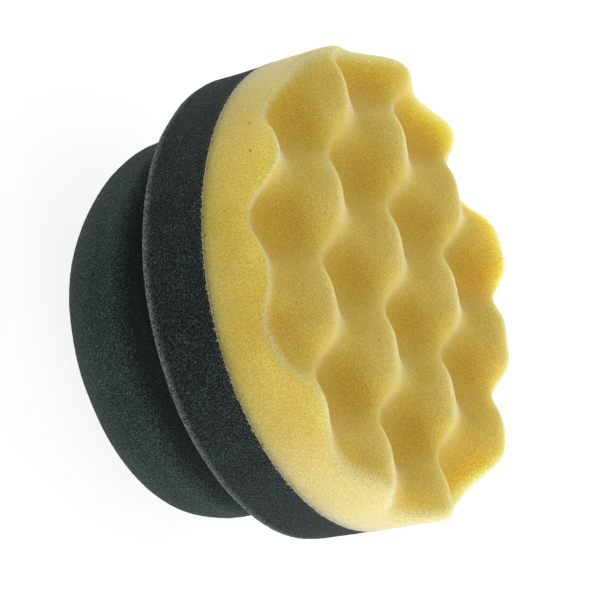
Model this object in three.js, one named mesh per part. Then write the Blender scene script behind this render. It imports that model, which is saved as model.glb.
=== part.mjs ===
// Hand polishing pad: a yellow waffle-cut foam face on a charcoal foam body with a finger groove.
// The body is foam discs of different size, and glue webs bond one layer to the next.
// Z = 0 is the flat back of the grip, and the waffle face points up.
import * as THREE from 'three';

// Sizes in millimetres, angles in radians.
const PAD_RADIUS = 65;
const SEGMENTS = 80;
const GAP = 0.3;
const BOND_THICKNESS = 0.4;
const BOND_INSET = 1;

const GRIP_RADIUS = 54;
const GRIP_HEIGHT = 26;
const GRIP_FRONT_ROUND = 4;
const GRIP_BACK_ROUND = 15;
const GRIP_OFF_CENTRE = 2.5;

const NECK_RADIUS = 42;
const NECK_OFF_CENTRE = 1.2;
const GROOVE_WIDTH = 15;

const FLANGE_THICKNESS = 18.4;
const FLANGE_EDGE_ROUND = 1.2;

const FACE_MEAN_HEIGHT = 17.1;
const WAFFLE_PITCH = 30.9;
const WAFFLE_TURN = THREE.MathUtils.degToRad(31.1);
const WAFFLE_PEAK_X = -50.9;
const WAFFLE_PEAK_Y = -13.6;
const CROSS_AMPLITUDE = 3.55;
const ROW_AMPLITUDE = 3.6;
const DIAGONAL_AMPLITUDE = -1.05;
const OTHER_DIAGONAL_AMPLITUDE = -0.45;
const ROW_OVERTONE = -0.55;
const BOWL_DEPTH_LIMIT = 8;
const FACE_RINGS = 20;

// Heights of the layers, from the back of the grip upwards.
const BOND_SPACE = BOND_THICKNESS + 2 * GAP;
const FLANGE_BASE = GRIP_HEIGHT + GROOVE_WIDTH;
const NECK_BASE = GRIP_HEIGHT + BOND_SPACE;
const NECK_TOP = FLANGE_BASE - BOND_SPACE;
const FLANGE_TOP = FLANGE_BASE + FLANGE_THICKNESS;
const FACE_BASE = FLANGE_TOP + BOND_SPACE;

const YELLOW_FOAM = new THREE.MeshStandardMaterial({ color: '#d9c05a', roughness: 0.95, metalness: 0 });
const CHARCOAL_FOAM = new THREE.MeshStandardMaterial({ color: '#2b3336', roughness: 0.95, metalness: 0 });
const GLUE_WEB = new THREE.MeshStandardMaterial({ color: '#c9bd9a', roughness: 0.6, metalness: 0 });

// A solid of revolution about Z from [radius, height] corners that start and end on the axis.
function turned(corners) {
  const profile = corners.map(([radius, height]) => new THREE.Vector2(radius, height));
  const geometry = new THREE.LatheGeometry(profile, SEGMENTS);
  geometry.rotateX(Math.PI / 2);
  return geometry;
}

function disc(radius, base, top) {
  return turned([[0, base], [radius, base], [radius, top], [0, top]]);
}

// Corners of a quarter round from angle `from` to angle `to`, in `steps` steps.
function round(centreRadius, centreHeight, radius, from, to, steps) {
  const corners = [];
  for (let i = 0; i <= steps; i += 1) {
    const angle = from + ((to - from) * i) / steps;
    corners.push([
      centreRadius + radius * Math.cos(angle),
      centreHeight + radius * Math.sin(angle),
    ]);
  }
  return corners;
}

// The palm grip: a flat back, a strongly rounded back edge and a softer edge at the groove.
function gripGeometry() {
  const backCentre = GRIP_RADIUS - GRIP_BACK_ROUND;
  const frontCentre = GRIP_RADIUS - GRIP_FRONT_ROUND;
  const frontHeight = GRIP_HEIGHT - GRIP_FRONT_ROUND;
  return turned([
    [0, 0],
    ...round(backCentre, GRIP_BACK_ROUND, GRIP_BACK_ROUND, -Math.PI / 2, 0, 8),
    ...round(frontCentre, frontHeight, GRIP_FRONT_ROUND, 0, Math.PI / 2, 4),
    [0, GRIP_HEIGHT],
  ]);
}

// The backing disc, whose edge at the groove is barely rounded.
function flangeGeometry() {
  const edge = FLANGE_EDGE_ROUND;
  return turned([
    [0, FLANGE_BASE],
    ...round(PAD_RADIUS - edge, FLANGE_BASE + edge, edge, -Math.PI / 2, 0, 2),
    [PAD_RADIUS, FLANGE_TOP],
    [0, FLANGE_TOP],
  ]);
}

// Height of the waffle surface: two sets of waves at right angles, turned in the plane, and a
// weaker diagonal set that joins the peaks into wavy ridges with deep bowls between them.
function faceHeight(x, y) {
  const waveNumber = (2 * Math.PI) / WAFFLE_PITCH;
  const dx = x - WAFFLE_PEAK_X;
  const dy = y - WAFFLE_PEAK_Y;
  const u = waveNumber * (dy * Math.cos(WAFFLE_TURN) + dx * Math.sin(WAFFLE_TURN));
  const v = waveNumber * (dx * Math.cos(WAFFLE_TURN) - dy * Math.sin(WAFFLE_TURN));
  let waves = CROSS_AMPLITUDE * Math.cos(u) + ROW_AMPLITUDE * Math.cos(v);
  waves += DIAGONAL_AMPLITUDE * Math.cos(u + v) + OTHER_DIAGONAL_AMPLITUDE * Math.cos(u - v);
  waves += ROW_OVERTONE * Math.cos(2 * v);
  if (waves < 0) waves /= 1 - waves / BOWL_DEPTH_LIMIT;
  return FLANGE_TOP + FACE_MEAN_HEIGHT + waves;
}

// The waffle face: a disc whose top rings are lifted or dropped onto the wave surface.
function faceGeometry() {
  const flatTop = FACE_BASE + FACE_MEAN_HEIGHT;
  const corners = [[0, FACE_BASE], [PAD_RADIUS, FACE_BASE]];
  for (let ring = FACE_RINGS; ring >= 0; ring -= 1) {
    corners.push([(PAD_RADIUS * ring) / FACE_RINGS, flatTop]);
  }
  const geometry = turned(corners);
  const position = geometry.getAttribute('position');
  for (let i = 0; i < position.count; i += 1) {
    if (position.getZ(i) > flatTop - 1) {
      position.setZ(i, faceHeight(position.getX(i), position.getY(i)));
    }
  }
  geometry.computeVertexNormals();
  return geometry;
}

const pad = new THREE.Group();

function addPiece(name, geometry, material, offCentre = 0) {
  const mesh = new THREE.Mesh(geometry, material);
  mesh.name = name;
  mesh.position.x = offCentre;
  pad.add(mesh);
}

// A thin glue web in the space of one joint, centred in that space.
function addBond(name, radius, jointBase, offCentre = 0) {
  const base = jointBase + GAP;
  addPiece(name, disc(radius - BOND_INSET, base, base + BOND_THICKNESS), GLUE_WEB, offCentre);
}

addPiece('grip_foam', gripGeometry(), CHARCOAL_FOAM, GRIP_OFF_CENTRE);
addBond('neck_grip_bond', NECK_RADIUS, GRIP_HEIGHT, NECK_OFF_CENTRE);
addPiece('neck_foam', disc(NECK_RADIUS, NECK_BASE, NECK_TOP), CHARCOAL_FOAM, NECK_OFF_CENTRE);
addBond('neck_flange_bond', NECK_RADIUS, NECK_TOP, NECK_OFF_CENTRE);
addPiece('flange_foam', flangeGeometry(), CHARCOAL_FOAM);
addBond('face_bond', PAD_RADIUS, FLANGE_TOP);
addPiece('face_foam', faceGeometry(), YELLOW_FOAM);

export default pad;
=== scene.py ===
"""Hand polishing pad: a waffle-cut yellow foam face on a charcoal foam body with a finger groove.

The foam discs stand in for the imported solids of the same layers, with the fine surface that cut and
pored foam has. Everything is in metres, Z runs up the pad's axis, and the pad stands on its grip.
"""

import math

import bmesh
import bpy
from mathutils import Matrix, Vector, noise


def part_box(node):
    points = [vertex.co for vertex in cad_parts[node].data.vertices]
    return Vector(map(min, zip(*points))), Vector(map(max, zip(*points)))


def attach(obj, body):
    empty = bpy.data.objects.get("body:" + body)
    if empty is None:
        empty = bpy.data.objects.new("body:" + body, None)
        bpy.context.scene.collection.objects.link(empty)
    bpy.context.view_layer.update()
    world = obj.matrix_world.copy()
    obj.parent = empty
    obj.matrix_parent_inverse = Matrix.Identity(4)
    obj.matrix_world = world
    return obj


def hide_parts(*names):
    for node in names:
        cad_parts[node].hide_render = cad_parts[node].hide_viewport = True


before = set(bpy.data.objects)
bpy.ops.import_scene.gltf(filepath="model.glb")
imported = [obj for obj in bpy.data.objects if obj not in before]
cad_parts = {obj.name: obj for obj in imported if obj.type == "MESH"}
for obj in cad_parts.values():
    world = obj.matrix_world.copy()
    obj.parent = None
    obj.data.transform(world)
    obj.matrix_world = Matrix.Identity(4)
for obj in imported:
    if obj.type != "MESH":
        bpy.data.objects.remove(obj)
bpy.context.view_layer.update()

MM = 0.001

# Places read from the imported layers.
GRIP_LOW, GRIP_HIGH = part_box("grip_foam")
NECK_LOW, NECK_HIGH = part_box("neck_foam")
FLANGE_LOW, FLANGE_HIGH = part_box("flange_foam")
FACE_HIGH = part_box("face_foam")[1]
GRIP_BOND_LOW, GRIP_BOND_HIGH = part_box("neck_grip_bond")
FACE_BOND_LOW, FACE_BOND_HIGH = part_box("face_bond")
FLANGE_BOND_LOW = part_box("neck_flange_bond")[0]

PAD_RADIUS = FACE_HIGH[0]
SEAM_HEIGHT = (FACE_BOND_LOW[2] + FACE_BOND_HIGH[2]) / 2
SEAM_GAP = 0.03 * MM

# Room over a glue web, and the recess that holds it: its distance from the rim and its slope.
BOND_CLEARANCE = 0.05 * MM
FACE_RECESS_MARGIN = 1.2 * MM
FLANGE_RECESS_MARGIN = 1.0 * MM
RECESS_SLOPE = 0.2 * MM

# The waffle cut: waves in rows and across them, two weaker diagonal sets, an overtone that
# sharpens the rows, and a limit that flattens the bowls.
WAVE_LEVEL = FLANGE_HIGH[2] + 17.1 * MM
WAFFLE_PITCH = 30.9 * MM
WAFFLE_TURN = math.radians(31.1)
PEAK_X, PEAK_Y = -50.9 * MM, -13.6 * MM
CROSS_AMPLITUDE = 3.55 * MM
ROW_AMPLITUDE = 3.6 * MM
DIAGONAL_AMPLITUDE = -1.05 * MM
OTHER_DIAGONAL_AMPLITUDE = -0.45 * MM
ROW_OVERTONE = -0.55 * MM
BOWL_DEPTH_LIMIT = 8.0 * MM

# Where pressing and cutting moved the face's rim: azimuth in degrees, lift and half width.
RIM_DENTS = (
    (-160.0, -3.0 * MM, 13 * MM),
    (-112.0, -1.8 * MM, 9 * MM),
    (-97.0, -1.2 * MM, 6 * MM),
    (-81.0, 1.6 * MM, 6 * MM),
    (-57.0, -0.8 * MM, 6 * MM),
    (-43.0, 2.0 * MM, 8 * MM),
)
RIM_DENT_REACH = 0.74

FACE_SEGMENTS = 640
FACE_RINGS = 100
FACE_WALL_ROWS = 22
FACE_RIM_ROUND = 1.9 * MM

# The face's painted shade and highlight: heights over which the painted shade deepening the bowls'
# colour fades out and the painted highlight paling the crests comes in, and distances from the axis
# over which the top's colour gives way to the wall's.
BOWL_SHADE_LOW = WAVE_LEVEL - 9.5 * MM
BOWL_SHADE_HIGH = WAVE_LEVEL + 3.5 * MM
CREST_HIGHLIGHT_LOW = WAVE_LEVEL + 2.5 * MM
CREST_HIGHLIGHT_HIGH = WAVE_LEVEL + 5.5 * MM
TOP_TONE_END = PAD_RADIUS - 5 * MM
WALL_TONE_START = PAD_RADIUS - 1 * MM

BODY_SEGMENTS = 480

# Rows that the body's walls are cut into, and rings in its flat ends: coarse where they are hidden.
FLANGE_WALL_ROWS = 16
FLANGE_RINGS, FLANGE_RING_STEP = 38, 1.6 * MM
NECK_WALL_ROWS = 12
NECK_RINGS, NECK_RING_STEP = 13, 3 * MM
GRIP_WALL_ROWS = 8
GRIP_BACK_RINGS, GRIP_FRONT_RINGS, GRIP_RING_STEP = 24, 32, 1.5 * MM

FLANGE_GROOVE_ROUND = 1.2 * MM
FLANGE_SEAM_ROUND = 0.3 * MM

NECK_WAIST = 0.6 * MM

# The grip was shaved by hand: slightly five-sided, a little off to the -X side, and left full
# there.
GRIP_BACK_ROUND = 16.8 * MM
GRIP_FRONT_ROUND = 4 * MM
GRIP_SHAVED_SIDES = 5
GRIP_SHAVE_DEPTH = 0.35 * MM
GRIP_SHAVED_ASIDE = 0.6 * MM
GRIP_FULL_SIDE = 1.2 * MM
GRIP_FULL_HALF_WIDTH = math.radians(16)

# Cut cells make every foam surface rough. They are drawn twice as coarse as the real ones, which
# are too fine for the meshes.
CELL_SIZE = 0.9 * MM
CELL_RELIEF = 0.09 * MM

# The camera, aimed beside the middle of the seam by these distances to its own right and up.
CAMERA_ELEVATION = math.radians(30.21)
CAMERA_ROLL = math.radians(77.02)
CAMERA_DISTANCE = 508.1 * MM
CAMERA_ASIDE = (-11.0 * MM, -1.87 * MM)
CAMERA_LENS_MM = 112.1


# ---------------------------------------------------------------- modelling helpers


def start_editing(piece):
    bpy.context.view_layer.objects.active = piece
    piece.select_set(True)
    bpy.ops.object.mode_set(mode="EDIT")


def stop_editing():
    bpy.ops.object.mode_set(mode="OBJECT")


def deselect_objects():
    bpy.ops.object.select_all(action="DESELECT")


def select_faces(piece, wanted):
    """Selects only the faces whose centre and normal pass the test."""
    bpy.ops.mesh.select_mode(type="FACE")
    bpy.ops.mesh.select_all(action="DESELECT")
    cage = bmesh.from_edit_mesh(piece.data)
    for face in cage.faces:
        face.select = wanted(face.calc_center_median(), face.normal)
    cage.select_flush_mode()
    bmesh.update_edit_mesh(piece.data)


def select_edges(piece, wanted):
    """Selects only the edges whose two ends pass the test."""
    bpy.ops.mesh.select_mode(type="EDGE")
    bpy.ops.mesh.select_all(action="DESELECT")
    cage = bmesh.from_edit_mesh(piece.data)
    for edge in cage.edges:
        edge.select = wanted(edge.verts[0].co, edge.verts[1].co)
    cage.select_flush_mode()
    bmesh.update_edit_mesh(piece.data)


def add_disc(name, radius, base, top, segments, centre_x=0.0):
    """A foam disc as it leaves the cutter: a cylinder at its size, with its place in its mesh."""
    deselect_objects()
    bpy.ops.mesh.primitive_cylinder_add(
        vertices=segments,
        radius=radius,
        depth=top - base,
        location=(centre_x, 0.0, (base + top) / 2),
        end_fill_type="NGON",
    )
    disc = bpy.context.object
    disc.name = name
    bpy.ops.object.transform_apply(location=True, rotation=True, scale=True)
    return disc


def cut_wall_rows(piece, rows):
    """Cuts the upright wall, between its rounded rims, into rows."""

    def upright(a, b):
        level = math.hypot(a.x - b.x, a.y - b.y) < 0.01 * MM
        return level and abs(a.z - b.z) > 5 * MM

    select_edges(piece, upright)
    bpy.ops.mesh.subdivide(number_cuts=rows)


def round_rim(piece, height, radius, steps):
    """Rounds the rim at a height."""

    def on_rim(a, b):
        return abs(a.z - height) < 1e-6 and abs(b.z - height) < 1e-6

    select_edges(piece, on_rim)
    bpy.ops.mesh.bevel(offset=radius, segments=steps, profile=0.5, affect="EDGES")


def ring_flat(piece, height, step, rings):
    """Cuts a flat end into rings that close on a point at its centre."""

    def is_flat_end(centre, normal):
        return abs(centre.z - height) < 1e-6 and abs(normal.z) > 0.99

    select_faces(piece, is_flat_end)
    for _ in range(rings):
        bpy.ops.mesh.inset(thickness=step, depth=0.0)
    bpy.ops.mesh.merge(type="CENTER")


def recess_flat(piece, height, margin, depth):
    """Sinks a flat end inside its rim, where a glue web sits."""

    def is_flat_end(centre, normal):
        return abs(centre.z - height) < 1e-6 and abs(normal.z) > 0.99

    select_faces(piece, is_flat_end)
    bpy.ops.mesh.inset(thickness=margin, depth=0.0)
    bpy.ops.mesh.inset(thickness=RECESS_SLOPE, depth=-depth)


def finish_foam(piece, node):
    """Outward normals, soft shading, and the piece's place in the assembly."""
    bpy.ops.mesh.select_all(action="SELECT")
    bpy.ops.mesh.normals_make_consistent(inside=False)
    stop_editing()
    bpy.ops.object.shade_smooth_by_angle(angle=math.radians(50))
    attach(piece, "root")
    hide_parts(node)
    deselect_objects()


def move_vertices(piece, place):
    """Moves each vertex of an edited mesh to where place() puts it."""
    cage = bmesh.from_edit_mesh(piece.data)
    for vertex in cage.verts:
        vertex.co = place(vertex.co)
    bmesh.update_edit_mesh(piece.data)


def uneven(point, size, depth, seed):
    """A smooth random offset: hand-cut foam is never quite true."""
    sample = Vector((point.x / size, point.y / size, point.z / size + seed))
    return depth * noise.noise(sample)


def cut_cells(point, seed):
    """The broken edge of the cells in a cut foam surface."""
    return uneven(point, CELL_SIZE, CELL_RELIEF, seed)


def smooth_step(low, high, value):
    t = min(max((value - low) / (high - low), 0.0), 1.0)
    return t * t * (3 - 2 * t)


# ---------------------------------------------------------------- the foam layers


def waffle_height(x, y):
    """Height of the waffle surface."""
    wave_number = 2 * math.pi / WAFFLE_PITCH
    dx, dy = x - PEAK_X, y - PEAK_Y
    u = wave_number * (dy * math.cos(WAFFLE_TURN) + dx * math.sin(WAFFLE_TURN))
    v = wave_number * (dx * math.cos(WAFFLE_TURN) - dy * math.sin(WAFFLE_TURN))
    waves = CROSS_AMPLITUDE * math.cos(u) + ROW_AMPLITUDE * math.cos(v)
    waves += DIAGONAL_AMPLITUDE * math.cos(u + v) + OTHER_DIAGONAL_AMPLITUDE * math.cos(u - v)
    waves += ROW_OVERTONE * math.cos(2 * v)
    if waves < 0:
        waves /= 1 - waves / BOWL_DEPTH_LIMIT
    return WAVE_LEVEL + waves


def rim_dent(x, y):
    """The lift of the face near its rim, where it was pressed or cut away from the true waves."""
    reach = math.hypot(x, y)
    if reach < RIM_DENT_REACH * PAD_RADIUS:
        return 0.0
    lift = 0.0
    for azimuth, height, half_width in RIM_DENTS:
        turn = (math.degrees(math.atan2(y, x)) - azimuth + 180) % 360 - 180
        along = math.radians(turn) * PAD_RADIUS / half_width
        lift += height * math.exp(-along * along)
    return lift * smooth_step(RIM_DENT_REACH * PAD_RADIUS, PAD_RADIUS, reach)


def model_face():
    """The yellow face: a thick disc whose top is drawn down into bowls between wavy ridges."""
    base = SEAM_HEIGHT + SEAM_GAP
    face = add_disc("waffle_face", PAD_RADIUS, base, WAVE_LEVEL, FACE_SEGMENTS)
    start_editing(face)
    round_rim(face, WAVE_LEVEL, FACE_RIM_ROUND, 6)
    cut_wall_rows(face, FACE_WALL_ROWS)
    ring_step = (PAD_RADIUS - FACE_RIM_ROUND) / (FACE_RINGS + 0.5)
    ring_flat(face, WAVE_LEVEL, ring_step, FACE_RINGS)
    recess_flat(face, base, FACE_RECESS_MARGIN, FACE_BOND_HIGH[2] + BOND_CLEARANCE - base)

    def onto_waves(point):
        share = (point.z - base) / (WAVE_LEVEL - base)
        lift = waffle_height(point.x, point.y) - WAVE_LEVEL + rim_dent(point.x, point.y)
        lift += uneven(point, 9 * MM, 0.35 * MM, 3.0) + cut_cells(point, 5.0)
        reach = math.hypot(point.x, point.y)
        scale = 1.0
        if reach > 0.9 * PAD_RADIUS:
            scale -= share * (CELL_RELIEF + cut_cells(point, 7.0)) / reach
        return Vector((point.x * scale, point.y * scale, point.z + share * lift))

    move_vertices(face, onto_waves)
    finish_foam(face, "face_foam")
    return face


def model_flange():
    """The charcoal backing disc, cut square, with its two rims barely rounded. It keeps its full
    radius at the seam."""
    base, top = FLANGE_LOW[2], SEAM_HEIGHT - SEAM_GAP
    flange = add_disc("flange_disc", PAD_RADIUS, base, top, BODY_SEGMENTS)
    start_editing(flange)
    round_rim(flange, base, FLANGE_GROOVE_ROUND, 4)
    round_rim(flange, top, FLANGE_SEAM_ROUND, 2)
    cut_wall_rows(flange, FLANGE_WALL_ROWS)
    ring_flat(flange, base, FLANGE_RING_STEP, FLANGE_RINGS)
    recess_flat(flange, top, FLANGE_RECESS_MARGIN, top - FACE_BOND_LOW[2] + BOND_CLEARANCE)

    def cut_by_hand(point):
        radius = math.hypot(point.x, point.y)
        if radius < 0.5 * PAD_RADIUS:
            return point
        below_seam = smooth_step(0.0, 2 * MM, top - point.z)
        rough = uneven(point, 12 * MM, 0.25 * MM, 11.0) - 0.25 * MM + cut_cells(point, 13.0)
        rough *= below_seam
        scale = 1 + rough / radius
        return Vector((point.x * scale, point.y * scale, point.z))

    move_vertices(flange, cut_by_hand)
    finish_foam(flange, "flange_foam")
    return flange


def model_neck():
    """The charcoal neck at the bottom of the finger groove."""
    base = GRIP_BOND_HIGH[2] + BOND_CLEARANCE
    top = FLANGE_BOND_LOW[2] - BOND_CLEARANCE
    centre_x = (NECK_LOW[0] + NECK_HIGH[0]) / 2
    radius = (NECK_HIGH[0] - NECK_LOW[0]) / 2
    neck = add_disc("neck_disc", radius, base, top, BODY_SEGMENTS, centre_x)
    start_editing(neck)
    cut_wall_rows(neck, NECK_WALL_ROWS)
    ring_flat(neck, base, NECK_RING_STEP, NECK_RINGS)
    ring_flat(neck, top, NECK_RING_STEP, NECK_RINGS)

    def waisted(point):
        along = (point.z - base) / (top - base)
        waist = NECK_WAIST * math.sin(math.pi * along)
        rough = -waist + uneven(point, 8 * MM, 0.25 * MM, 23.0) + cut_cells(point, 25.0)
        dx = point.x - centre_x
        reach = math.hypot(dx, point.y)
        if reach < 0.5 * radius:
            return point
        scale = 1 + rough / reach
        return Vector((centre_x + dx * scale, point.y * scale, point.z))

    move_vertices(neck, waisted)
    finish_foam(neck, "neck_foam")
    return neck


def model_grip():
    """The palm grip: a puck with a soft front edge and a strongly rounded back, shaved by hand."""
    base, top = GRIP_LOW[2], GRIP_BOND_LOW[2] - BOND_CLEARANCE
    centre_x = (GRIP_LOW[0] + GRIP_HIGH[0]) / 2
    radius = (GRIP_HIGH[0] - GRIP_LOW[0]) / 2
    grip = add_disc("palm_grip", radius, base, top, BODY_SEGMENTS, centre_x)
    start_editing(grip)
    round_rim(grip, base, GRIP_BACK_ROUND, 18)
    round_rim(grip, top, GRIP_FRONT_ROUND, 8)
    cut_wall_rows(grip, GRIP_WALL_ROWS)
    ring_flat(grip, base, GRIP_RING_STEP, GRIP_BACK_RINGS)
    ring_flat(grip, top, GRIP_RING_STEP, GRIP_FRONT_RINGS)

    def shaved(point):
        dx = point.x - centre_x
        reach = math.hypot(dx, point.y)
        if reach < 0.3 * radius:
            return point
        side = math.pi + math.atan2(point.y, dx)
        rough = GRIP_SHAVE_DEPTH * (math.cos(GRIP_SHAVED_SIDES * side) - 1)
        rough -= GRIP_SHAVED_ASIDE * dx / reach
        away = (side + math.pi) % (2 * math.pi) - math.pi
        rough += GRIP_FULL_SIDE * math.exp(-((away / GRIP_FULL_HALF_WIDTH) ** 2))
        rough += uneven(point, 14 * MM, 0.4 * MM, 37.0) + cut_cells(point, 41.0)
        scale = 1 + rough / reach
        return Vector((centre_x + dx * scale, point.y * scale, point.z))

    move_vertices(grip, shaved)
    finish_foam(grip, "grip_foam")
    return grip


# ---------------------------------------------------------------- materials


def linear(hex_colour):
    """An sRGB hex colour as linear RGBA."""
    channels = [int(hex_colour[i : i + 2], 16) / 255 for i in (1, 3, 5)]
    return [c / 12.92 if c <= 0.04045 else ((c + 0.055) / 1.055) ** 2.4 for c in channels] + [1.0]


def add_node(tree, kind, settings=None, inputs=None, links=None, stops=()):
    """Adds a node with its settings, its input values, its links from other nodes' outputs and,
    on a colour ramp, its (position, colour) stops."""
    node = tree.nodes.new(kind)
    for key, value in (settings or {}).items():
        setattr(node, key, value)
    for key, value in (inputs or {}).items():
        node.inputs[key].default_value = value
    for key, output in (links or {}).items():
        tree.links.new(output, node.inputs[key])
    for index, (position, colour) in enumerate(stops):
        elements = node.color_ramp.elements
        element = elements[index] if index < len(elements) else elements.new(position)
        element.position = position
        element.color = colour
    return node


def new_material(name):
    material = bpy.data.materials.new(name)
    material.use_nodes = True
    material.node_tree.nodes.clear()
    return material, material.node_tree


def grey(value):
    return [value, value, value, 1.0]


def ragged_seam(tree, place, height):
    """How far over the ragged seam a point is: under a half is dark foam, over it is yellow."""
    across = add_node(
        tree,
        "ShaderNodeMapRange",
        {"interpolation_type": "LINEAR"},
        inputs={
            "From Min": SEAM_HEIGHT - 3 * MM,
            "From Max": SEAM_HEIGHT + 3 * MM,
            "To Min": -0.5,
            "To Max": 0.5,
        },
        links={"Value": height},
    )
    cells = add_node(
        tree,
        "ShaderNodeTexNoise",
        inputs={"Scale": 1 / (0.6 * MM), "Detail": 3.0, "Roughness": 0.65},
        links={"Vector": place},
    )
    ragged = add_node(
        tree,
        "ShaderNodeMath",
        {"operation": "ADD"},
        links={0: across.outputs["Result"], 1: cells.outputs["Fac"]},
    )
    return ragged.outputs["Value"]


def yellow_foam():
    """Soft open-cell polyurethane foam, dyed yellow and hot-wire cut: a fine grain of cut cells,
    painted shade that deepens the colour in the bowls, painted highlights that pale the crests, the
    rim and the wall on two sides, a few dark specks, light that soaks in and comes out golden, and a
    pale bloom at grazing angles."""
    material, tree = new_material("hot_wire_cut_yellow_polyurethane_foam")
    place = add_node(tree, "ShaderNodeTexCoord").outputs["Object"]

    # Cut cells about 0.4 mm across, with a finer grain between them.
    cells = add_node(
        tree,
        "ShaderNodeTexVoronoi",
        {"feature": "F1"},
        inputs={"Scale": 1 / (0.42 * MM), "Randomness": 1.0},
        links={"Vector": place},
    )
    grain = add_node(
        tree,
        "ShaderNodeTexNoise",
        inputs={"Scale": 1 / (0.32 * MM), "Detail": 1.0, "Roughness": 0.5},
        links={"Vector": place},
    )
    # Cloudy dye and soiling over a centimetre or two.
    clouds = add_node(
        tree,
        "ShaderNodeTexNoise",
        inputs={"Scale": 1 / (16 * MM), "Detail": 3.0, "Roughness": 0.5},
        links={"Vector": place},
    )
    clouds_colour = add_node(
        tree,
        "ShaderNodeValToRGB",
        links={"Fac": clouds.outputs["Fac"]},
        stops=[(0.35, linear("#D6B852")), (0.65, linear("#E0C464"))],
    )
    # Painted shade: the bowls are painted a deeper colour than the ridges, but not where the wall
    # begins.
    height = add_node(tree, "ShaderNodeSeparateXYZ", links={"Vector": place})
    depth = add_node(
        tree,
        "ShaderNodeMapRange",
        {"interpolation_type": "SMOOTHSTEP"},
        inputs={
            "From Min": BOWL_SHADE_LOW,
            "From Max": BOWL_SHADE_HIGH,
            "To Min": 1.0,
            "To Max": 0.0,
        },
        links={"Value": height.outputs["Z"]},
    )
    level = add_node(
        tree,
        "ShaderNodeVectorMath",
        {"operation": "MULTIPLY"},
        inputs={1: (1.0, 1.0, 0.0)},
        links={0: place},
    )
    reach = add_node(
        tree,
        "ShaderNodeVectorMath",
        {"operation": "LENGTH"},
        links={0: level.outputs["Vector"]},
    )
    inside = add_node(
        tree,
        "ShaderNodeMapRange",
        {"interpolation_type": "SMOOTHSTEP"},
        inputs={
            "From Min": TOP_TONE_END,
            "From Max": WALL_TONE_START,
            "To Min": 1.0,
            "To Max": 0.0,
        },
        links={"Value": reach.outputs["Value"]},
    )
    bowl_shade = add_node(
        tree,
        "ShaderNodeMath",
        {"operation": "MULTIPLY"},
        links={0: depth.outputs["Result"], 1: inside.outputs["Result"]},
    )
    bowl_shade_colour = add_node(
        tree,
        "ShaderNodeMix",
        {"data_type": "RGBA"},
        inputs={"B": linear("#E6BB3C")},
        links={"Factor": bowl_shade.outputs["Value"], "A": clouds_colour.outputs["Color"]},
    )
    # Painted highlight: the crests are painted a paler tone.
    crest_highlight = add_node(
        tree,
        "ShaderNodeMapRange",
        {"interpolation_type": "SMOOTHSTEP"},
        inputs={
            "From Min": CREST_HIGHLIGHT_LOW,
            "From Max": CREST_HIGHLIGHT_HIGH,
            "To Min": 0.0,
            "To Max": 0.2,
        },
        links={"Value": height.outputs["Z"]},
    )
    crest_highlight_colour = add_node(
        tree,
        "ShaderNodeMix",
        {"data_type": "RGBA"},
        inputs={"B": linear("#DCCC8E")},
        links={"Factor": crest_highlight.outputs["Result"], "A": bowl_shade_colour.outputs["Result"]},
    )
    # Painted highlight: the upright wall is painted paler towards +X and towards -X, the two sides
    # that see the most light.
    right_side_highlight = add_node(
        tree,
        "ShaderNodeMapRange",
        {"interpolation_type": "SMOOTHSTEP"},
        inputs={
            "From Min": 0.15 * PAD_RADIUS,
            "From Max": PAD_RADIUS,
            "To Min": 0.0,
            "To Max": 0.72,
        },
        links={"Value": height.outputs["X"]},
    )
    left_side_highlight = add_node(
        tree,
        "ShaderNodeMapRange",
        {"interpolation_type": "SMOOTHSTEP"},
        inputs={
            "From Min": -PAD_RADIUS,
            "From Max": -0.55 * PAD_RADIUS,
            "To Min": 0.7,
            "To Max": 0.0,
        },
        links={"Value": height.outputs["X"]},
    )
    outside = add_node(
        tree,
        "ShaderNodeMapRange",
        {"interpolation_type": "SMOOTHSTEP"},
        inputs={
            "From Min": TOP_TONE_END,
            "From Max": WALL_TONE_START,
            "To Min": 0.0,
            "To Max": 1.0,
        },
        links={"Value": reach.outputs["Value"]},
    )
    side_highlight_colour = crest_highlight_colour
    for side_highlight, pale in ((right_side_highlight, "#D8CB98"), (left_side_highlight, "#CCBE86")):
        wall_highlight = add_node(
            tree,
            "ShaderNodeMath",
            {"operation": "MULTIPLY"},
            links={0: side_highlight.outputs["Result"], 1: outside.outputs["Result"]},
        )
        side_highlight_colour = add_node(
            tree,
            "ShaderNodeMix",
            {"data_type": "RGBA"},
            inputs={"B": linear(pale)},
            links={"Factor": wall_highlight.outputs["Value"], "A": side_highlight_colour.outputs["Result"]},
        )
    # Painted highlight: the rounded rim is painted pale too.
    rim_outside = add_node(
        tree,
        "ShaderNodeMapRange",
        {"interpolation_type": "SMOOTHSTEP"},
        inputs={
            "From Min": PAD_RADIUS - 1.1 * MM,
            "From Max": PAD_RADIUS - 0.2 * MM,
            "To Min": 0.42,
            "To Max": 0.0,
        },
        links={"Value": reach.outputs["Value"]},
    )
    rim_inside = add_node(
        tree,
        "ShaderNodeMapRange",
        {"interpolation_type": "SMOOTHSTEP"},
        inputs={
            "From Min": PAD_RADIUS - 4.0 * MM,
            "From Max": PAD_RADIUS - 1.3 * MM,
            "To Min": 0.0,
            "To Max": 1.0,
        },
        links={"Value": reach.outputs["Value"]},
    )
    rim = add_node(
        tree,
        "ShaderNodeMath",
        {"operation": "MULTIPLY"},
        links={0: rim_outside.outputs["Result"], 1: rim_inside.outputs["Result"]},
    )
    rim_highlight_colour = add_node(
        tree,
        "ShaderNodeMix",
        {"data_type": "RGBA"},
        inputs={"B": linear("#E4D6A2")},
        links={"Factor": rim.outputs["Value"], "A": side_highlight_colour.outputs["Result"]},
    )
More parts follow.
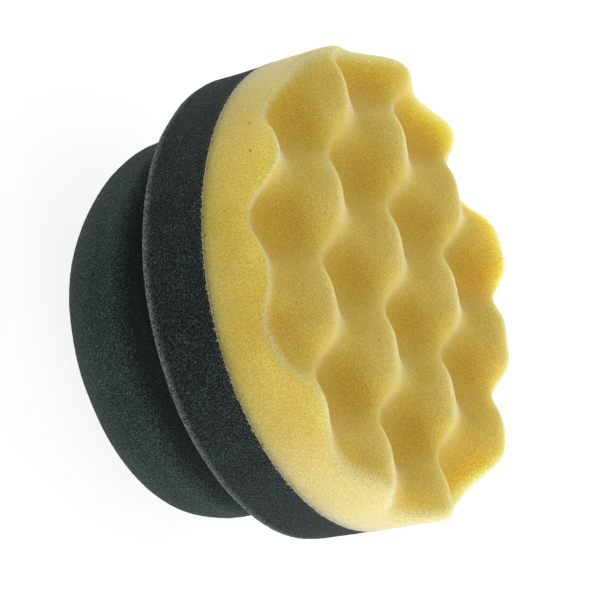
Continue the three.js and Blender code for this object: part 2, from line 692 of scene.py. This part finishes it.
    # Cell mouths are darker than the struts round them.
    mouth = add_node(
        tree,
        "ShaderNodeValToRGB",
        links={"Fac": cells.outputs["Distance"]},
        stops=[(0.0, grey(0.70)), (0.6, grey(1.12))],
    )
    celled = add_node(
        tree,
        "ShaderNodeMix",
        {"data_type": "RGBA", "blend_type": "MULTIPLY"},
        inputs={"Factor": 0.8},
        links={"A": rim_highlight_colour.outputs["Result"], "B": mouth.outputs["Color"]},
    )
    fine = add_node(
        tree,
        "ShaderNodeValToRGB",
        links={"Fac": grain.outputs["Fac"]},
        stops=[(0.3, grey(0.78)), (0.7, grey(1.18))],
    )
    grained = add_node(
        tree,
        "ShaderNodeMix",
        {"data_type": "RGBA", "blend_type": "MULTIPLY"},
        inputs={"Factor": 0.9},
        links={"A": celled.outputs["Result"], "B": fine.outputs["Color"]},
    )
    # A few dark specks of grit or over-dyed foam, centimetres apart.
    specks = add_node(
        tree,
        "ShaderNodeTexVoronoi",
        {"feature": "F1"},
        inputs={"Scale": 1 / (11 * MM), "Randomness": 1.0},
        links={"Vector": place},
    )
    speck = add_node(
        tree,
        "ShaderNodeValToRGB",
        links={"Fac": specks.outputs["Distance"]},
        stops=[(0.025, grey(0.8)), (0.045, grey(0.0))],
    )
    specked = add_node(
        tree,
        "ShaderNodeMix",
        {"data_type": "RGBA"},
        inputs={"B": linear("#7A6424")},
        links={"Factor": speck.outputs["Color"], "A": grained.outputs["Result"]},
    )
    # The seam is ragged: torn cells show the dark foam under them.
    ragged = ragged_seam(tree, place, height.outputs["Z"])
    torn = add_node(
        tree,
        "ShaderNodeValToRGB",
        links={"Fac": ragged},
        stops=[(0.44, grey(0.9)), (0.52, grey(0.0))],
    )
    seamed = add_node(
        tree,
        "ShaderNodeMix",
        {"data_type": "RGBA"},
        inputs={"B": linear("#2F3430")},
        links={"Factor": torn.outputs["Color"], "A": specked.outputs["Result"]},
    )
    pores = add_node(
        tree,
        "ShaderNodeMath",
        {"operation": "MULTIPLY_ADD"},
        inputs={1: 0.6},
        links={0: grain.outputs["Fac"], 2: cells.outputs["Distance"]},
    )
    relief = add_node(
        tree,
        "ShaderNodeBump",
        inputs={"Strength": 0.45, "Distance": 0.2 * MM},
        links={"Height": pores.outputs["Value"]},
    )
    shader = add_node(
        tree,
        "ShaderNodeBsdfPrincipled",
        inputs={
            "Roughness": 0.95,
            "IOR": 1.45,
            "Specular IOR Level": 0.1,
            "Subsurface Weight": 0.85,
            "Subsurface Radius": (1.0, 0.95, 0.45),
            "Subsurface Scale": 20 * MM,
            "Sheen Weight": 0.55,
            "Sheen Roughness": 0.3,
            "Sheen Tint": linear("#FFFCF0"),
        },
        links={"Base Color": seamed.outputs["Result"], "Normal": relief.outputs["Normal"]},
    )
    add_node(tree, "ShaderNodeOutputMaterial", links={"Surface": shader.outputs["BSDF"]})
    return material


def charcoal_foam(name, strut, skin, pit, bloom, lit_rim_height, softness):
    """Open-cell polyurethane foam, dyed charcoal and knife cut: dark open cells with paler struts
    between them, a few glints, and a grey bloom at grazing angles. Along its rim, at the height
    passed in, a speckled band is painted paler as a painted highlight, and a smaller softness gives a
    harder grain."""
    material, tree = new_material(name)
    place = add_node(tree, "ShaderNodeTexCoord").outputs["Object"]
    cells = add_node(
        tree,
        "ShaderNodeTexVoronoi",
        {"feature": "F1"},
        inputs={"Scale": 1 / (0.44 * MM), "Randomness": 1.0},
        links={"Vector": place},
    )
    grain = add_node(
        tree,
        "ShaderNodeTexNoise",
        inputs={"Scale": 1 / (0.36 * MM), "Detail": 2.0, "Roughness": 0.7},
        links={"Vector": place},
    )
    clouds = add_node(
        tree,
        "ShaderNodeTexNoise",
        inputs={"Scale": 1 / (14 * MM), "Detail": 2.0, "Roughness": 0.5},
        links={"Vector": place},
    )
    struts = add_node(
        tree,
        "ShaderNodeValToRGB",
        links={"Fac": cells.outputs["Distance"]},
        stops=[(0.1, linear(pit)), (0.4, linear(skin)), (0.7, linear(strut))],
    )
    fine = add_node(
        tree,
        "ShaderNodeValToRGB",
        links={"Fac": grain.outputs["Fac"]},
        stops=[(0.5 - softness, grey(0.08)), (0.5 + softness, grey(2.0))],
    )
    grained = add_node(
        tree,
        "ShaderNodeMix",
        {"data_type": "RGBA", "blend_type": "MULTIPLY"},
        inputs={"Factor": 0.9},
        links={"A": struts.outputs["Color"], "B": fine.outputs["Color"]},
    )
    cloudy = add_node(
        tree,
        "ShaderNodeValToRGB",
        links={"Fac": clouds.outputs["Fac"]},
        stops=[(0.3, grey(0.88)), (0.7, grey(1.1))],
    )
    mottled = add_node(
        tree,
        "ShaderNodeMix",
        {"data_type": "RGBA", "blend_type": "MULTIPLY"},
        inputs={"Factor": 1.0},
        links={"A": grained.outputs["Result"], "B": cloudy.outputs["Color"]},
    )
    # A few glinting cell windows, some millimetres apart.
    glints = add_node(
        tree,
        "ShaderNodeTexVoronoi",
        {"feature": "F1"},
        inputs={"Scale": 1 / (3.2 * MM), "Randomness": 1.0},
        links={"Vector": place},
    )
    glint = add_node(
        tree,
        "ShaderNodeValToRGB",
        links={"Fac": glints.outputs["Distance"]},
        stops=[(0.04, grey(0.6)), (0.09, grey(0.0))],
    )
    glinting = add_node(
        tree,
        "ShaderNodeMix",
        {"data_type": "RGBA"},
        inputs={"B": linear("#7E8889")},
        links={"Factor": glint.outputs["Color"], "A": mottled.outputs["Result"]},
    )
    # Painted highlight: a speckled band along the rim is painted paler.
    height = add_node(tree, "ShaderNodeSeparateXYZ", links={"Vector": place})
    edge = add_node(
        tree,
        "ShaderNodeMapRange",
        {"interpolation_type": "SMOOTHSTEP"},
        inputs={
            "From Min": lit_rim_height + 0.5 * MM,
            "From Max": lit_rim_height + 3.2 * MM,
            "To Min": 1.0,
            "To Max": 0.0,
        },
        links={"Value": height.outputs["Z"]},
    )
    broken = add_node(
        tree,
        "ShaderNodeValToRGB",
        links={"Fac": grain.outputs["Fac"]},
        stops=[(0.44, grey(0.05)), (0.58, grey(1.0))],
    )
    rim_highlight_mask = add_node(
        tree,
        "ShaderNodeMath",
        {"operation": "MULTIPLY"},
        links={0: edge.outputs["Result"], 1: broken.outputs["Color"]},
    )
    rim_highlighted = add_node(
        tree,
        "ShaderNodeMix",
        {"data_type": "RGBA"},
        inputs={"B": linear("#838D8C")},
        links={"Factor": rim_highlight_mask.outputs["Value"], "A": glinting.outputs["Result"]},
    )
    # Torn yellow cells hang over the ragged seam.
    ragged = ragged_seam(tree, place, height.outputs["Z"])
    hanging = add_node(
        tree,
        "ShaderNodeValToRGB",
        links={"Fac": ragged},
        stops=[(0.48, grey(0.0)), (0.56, grey(0.9))],
    )
    seamed = add_node(
        tree,
        "ShaderNodeMix",
        {"data_type": "RGBA"},
        inputs={"B": linear("#B2A56E")},
        links={"Factor": hanging.outputs["Color"], "A": rim_highlighted.outputs["Result"]},
    )
    pores = add_node(
        tree,
        "ShaderNodeMath",
        {"operation": "ADD"},
        links={0: cells.outputs["Distance"], 1: grain.outputs["Fac"]},
    )
    relief = add_node(
        tree,
        "ShaderNodeBump",
        inputs={"Strength": 0.9, "Distance": 0.36 * MM},
        links={"Height": pores.outputs["Value"]},
    )
    shader = add_node(
        tree,
        "ShaderNodeBsdfPrincipled",
        inputs={
            "Roughness": 0.92,
            "IOR": 1.45,
            "Specular IOR Level": 0.15,
            "Sheen Weight": bloom,
            "Sheen Roughness": 0.4,
            "Sheen Tint": linear("#E6ECE6"),
        },
        links={"Base Color": seamed.outputs["Result"], "Normal": relief.outputs["Normal"]},
    )
    add_node(tree, "ShaderNodeOutputMaterial", links={"Surface": shader.outputs["BSDF"]})
    return material


def glue_web():
    """Hot-melt adhesive web between the foams: a dull cream film, mottled where it soaked in."""
    material, tree = new_material("hot_melt_glue_web")
    place = add_node(tree, "ShaderNodeTexCoord").outputs["Object"]
    strands = add_node(
        tree,
        "ShaderNodeTexNoise",
        inputs={"Scale": 1 / (1.5 * MM), "Detail": 4.0, "Roughness": 0.6},
        links={"Vector": place},
    )
    colour = add_node(
        tree,
        "ShaderNodeValToRGB",
        links={"Fac": strands.outputs["Fac"]},
        stops=[(0.35, linear("#6B6450")), (0.65, linear("#B5AA86"))],
    )
    relief = add_node(
        tree,
        "ShaderNodeBump",
        inputs={"Strength": 0.4, "Distance": 0.2 * MM},
        links={"Height": strands.outputs["Fac"]},
    )
    shader = add_node(
        tree,
        "ShaderNodeBsdfPrincipled",
        inputs={"Roughness": 0.6, "IOR": 1.48},
        links={"Base Color": colour.outputs["Color"], "Normal": relief.outputs["Normal"]},
    )
    add_node(tree, "ShaderNodeOutputMaterial", links={"Surface": shader.outputs["BSDF"]})
    return material


def studio_white():
    """Back-lit white acrylic, cast and matt, bright enough to leave only a faint shadow."""
    material, tree = new_material("back_lit_acrylic_table")
    shader = add_node(
        tree,
        "ShaderNodeBsdfPrincipled",
        inputs={
            "Base Color": linear("#8A8B8B"),
            "Roughness": 0.9,
            "Specular IOR Level": 0.0,
            "Emission Color": linear("#FFFFFF"),
            "Emission Strength": 0.86,
        },
    )
    add_node(tree, "ShaderNodeOutputMaterial", links={"Surface": shader.outputs["BSDF"]})
    return material


# ---------------------------------------------------------------- studio


def build_floor():
    deselect_objects()
    bpy.ops.mesh.primitive_plane_add(size=6.0, location=(0, 0, 0))
    floor = bpy.context.object
    floor.name = "studio_floor"
    floor.data.materials.append(studio_white())


def build_world():
    world = bpy.data.worlds.new("soft_white_studio")
    bpy.context.scene.world = world
    world.use_nodes = True
    sky = world.node_tree.nodes["Background"]
    sky.inputs["Color"].default_value = linear("#F7FAFF")
    sky.inputs["Strength"].default_value = 0.55


def add_softbox(name, place, aim, width, height, watts):
    deselect_objects()
    bpy.ops.object.light_add(type="AREA", location=place)
    lamp = bpy.context.object
    lamp.name = name
    lamp.data.shape = "RECTANGLE"
    lamp.data.size = width
    lamp.data.size_y = height
    lamp.data.energy = watts
    lamp.rotation_euler = (Vector(aim) - Vector(place)).to_track_quat("-Z", "Y").to_euler()


def build_camera():
    """Looks along +Y and down, and lies nearly on its side, so that the pad's axis runs across
    the picture."""
    tilt = Matrix.Rotation(math.pi / 2 - CAMERA_ELEVATION, 3, "X")
    turn = tilt @ Matrix.Rotation(CAMERA_ROLL, 3, "Z")
    aim = Vector((0.0, 0.0, SEAM_HEIGHT))
    deselect_objects()
    bpy.ops.object.camera_add(location=aim + turn @ Vector((*CAMERA_ASIDE, CAMERA_DISTANCE)))
    camera = bpy.context.object
    camera.name = "camera"
    camera.rotation_euler = turn.to_euler()
    camera.data.sensor_width = 36.0
    camera.data.lens = CAMERA_LENS_MM
    camera.data.clip_start = 0.01
    camera.data.clip_end = 10.0
    bpy.context.scene.camera = camera


def build_studio():
    build_floor()
    build_world()
    add_softbox("top_softbox", (0.1, 0.5, 1.0), (0, 0, 0.05), 1.0, 1.0, 2.0)
    add_softbox("right_softbox", (1.0, 0.0, 0.22), (0, 0, 0.05), 0.8, 0.4, 5)
    add_softbox("back_softbox", (0.0, 1.0, 0.12), (0, 0, 0.06), 1.2, 0.2, 7.5)
    build_camera()
    bpy.context.scene.view_settings.view_transform = "Standard"


# ---------------------------------------------------------------- assembly

face = model_face()
flange = model_flange()
neck = model_neck()
grip = model_grip()

face.data.materials.append(yellow_foam())
# The flange's foam is made darker than the grip's, and its grain harder.
flange_foam = charcoal_foam(
    "firm_charcoal_polyurethane_foam", "#2F3B39", "#111918", "#070B0A", 0.12, FLANGE_LOW[2], 0.08
)
grip_foam = charcoal_foam(
    "soft_charcoal_polyurethane_foam", "#3E4A48", "#26312F", "#131918", 0.10, GRIP_LOW[2], 0.17
)
flange.data.materials.append(flange_foam)
for disc in (neck, grip):
    disc.data.materials.append(grip_foam)
web = glue_web()
for bond in ("face_bond", "neck_flange_bond", "neck_grip_bond"):
    for material_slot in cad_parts[bond].material_slots:
        material_slot.material = web

build_studio()
